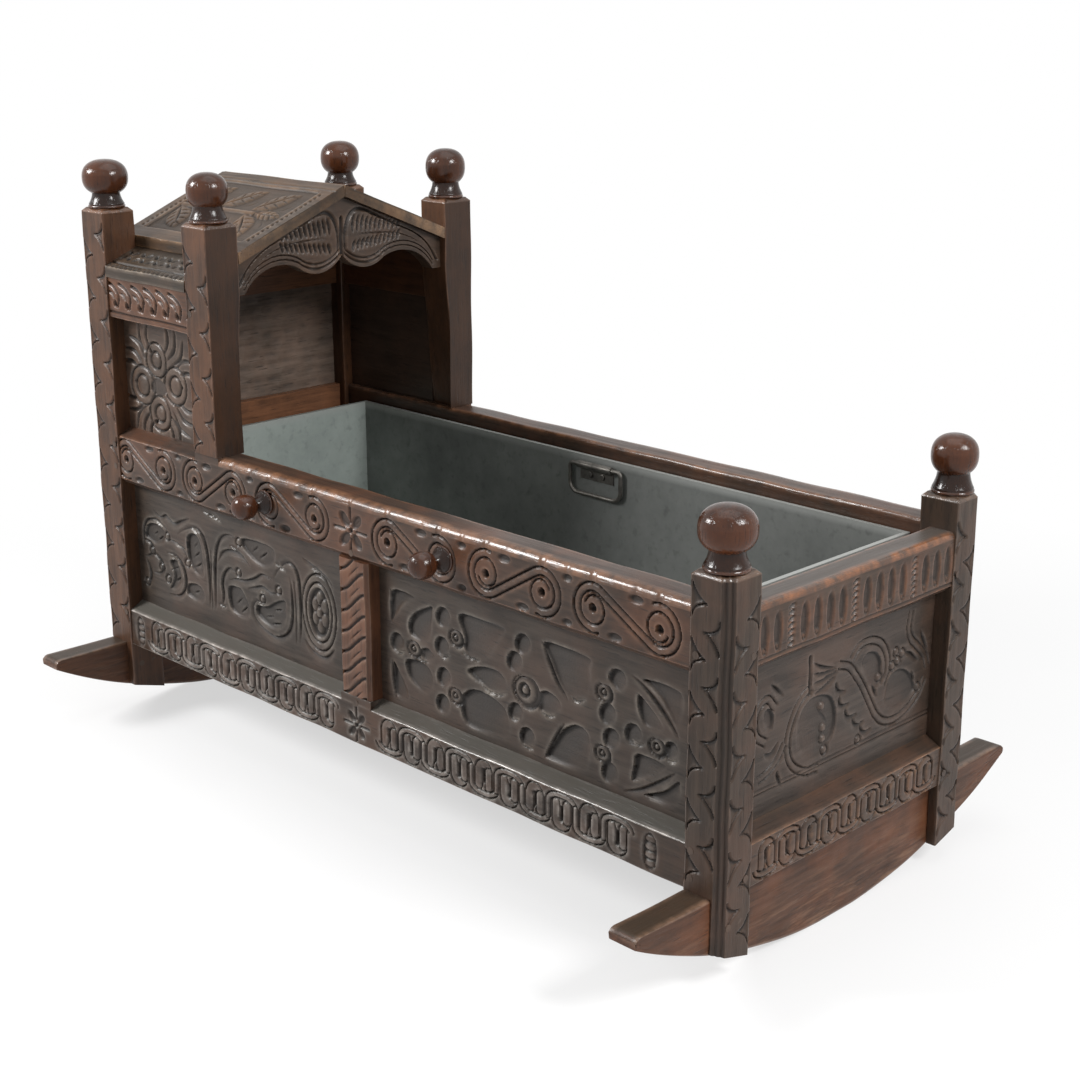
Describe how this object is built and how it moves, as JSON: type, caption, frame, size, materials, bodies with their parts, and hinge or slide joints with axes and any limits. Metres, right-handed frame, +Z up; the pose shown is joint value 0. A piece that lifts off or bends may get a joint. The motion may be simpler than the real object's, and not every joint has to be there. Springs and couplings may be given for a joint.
{
  "type": "hooded rocking cradle",
  "caption": "Joined and carved oak cradle with a gabled hood, ball-finial posts and curved rockers, holding a lift-out zinc liner with drop handles.",
  "frame": {"origin": "on the floor under the middle of the cradle", "axes": "+X from the head to the foot, +Y from the left side to the right side as seen from the foot, +Z up"},
  "size_m": [0.959, 0.57, 0.6573],
  "materials": {
    "oak_carved": "waxed, worn",
    "oak_plain": "worn",
    "oak_turned": "polished by hands",
    "zinc_sheet": "dull grey",
    "iron_wire": "dull dark"
  },
  "bodies": {
    "frame": {"foot_post_left": "oak_carved", "foot_post_right": "oak_carved", "head_post_left": "oak_carved", "head_post_right": "oak_carved", "hood_post_left": "oak_carved", "hood_post_right": "oak_carved", "side_top_rail_left": "oak_carved", "side_top_rail_right": "oak_carved", "side_bottom_rail_left": "oak_carved", "side_bottom_rail_right": "oak_carved", "side_muntin_left": "oak_carved", "side_muntin_right": "oak_carved", "side_panel_head_left": "oak_carved", "side_panel_head_right": "oak_carved", "side_panel_foot_left": "oak_carved", "side_panel_foot_right": "oak_carved", "hood_rail_left": "oak_carved", "hood_rail_right": "oak_carved", "hood_panel_left": "oak_carved", "hood_panel_right": "oak_carved", "roof_board_left": "oak_carved", "roof_board_right": "oak_carved", "eave_board_left": "oak_carved", "eave_board_right": "oak_carved", "foot_top_rail": "oak_carved", "foot_bottom_rail": "oak_carved", "foot_panel": "oak_carved", "hood_gable": "oak_carved", "head_bottom_rail": "oak_plain", "head_mid_rail": "oak_plain", "head_gable": "oak_plain", "head_panel_lower": "oak_plain", "head_panel_upper": "oak_plain", "rocker_foot": "oak_plain", "rocker_head": "oak_plain", "floor_cleat_left": "oak_plain", "floor_cleat_right": "oak_plain", "floor_boards": "oak_plain", "oak_pegs": "oak_plain", "finial_head_left": "oak_turned", "finial_head_right": "oak_turned", "finial_hood_left": "oak_turned", "finial_hood_right": "oak_turned", "finial_foot_left": "oak_turned", "finial_foot_right": "oak_turned", "knob_head_left": "oak_turned", "knob_head_right": "oak_turned", "knob_foot_left": "oak_turned", "knob_foot_right": "oak_turned"},
    "liner": {"liner_floor": "zinc_sheet", "liner_wall_left": "zinc_sheet", "liner_wall_right": "zinc_sheet", "liner_wall_head": "zinc_sheet", "liner_wall_foot": "zinc_sheet", "handle_clip_left": "zinc_sheet", "handle_clip_right": "zinc_sheet", "handle_rivets": "zinc_sheet"},
    "bail_left": {"handle_bail_left": "iron_wire"},
    "bail_right": {"handle_bail_right": "iron_wire"}
  },
  "joints": [
    {"name": "liner_lift", "type": "slide", "parent": "frame", "child": "liner", "axis": [0, 0, 1], "range_m": [0, 0.12]},
    {"name": "bail_left_swing", "type": "hinge", "parent": "liner", "child": "bail_left", "pos_m": [0.0135, -0.1416, 0.326], "axis": [1, 0, 0], "range_deg": [0, 165]},
    {"name": "bail_right_swing", "type": "hinge", "parent": "liner", "child": "bail_right", "pos_m": [0.0135, 0.1416, 0.326], "axis": [-1, 0, 0], "range_deg": [0, 165]}
  ]
}
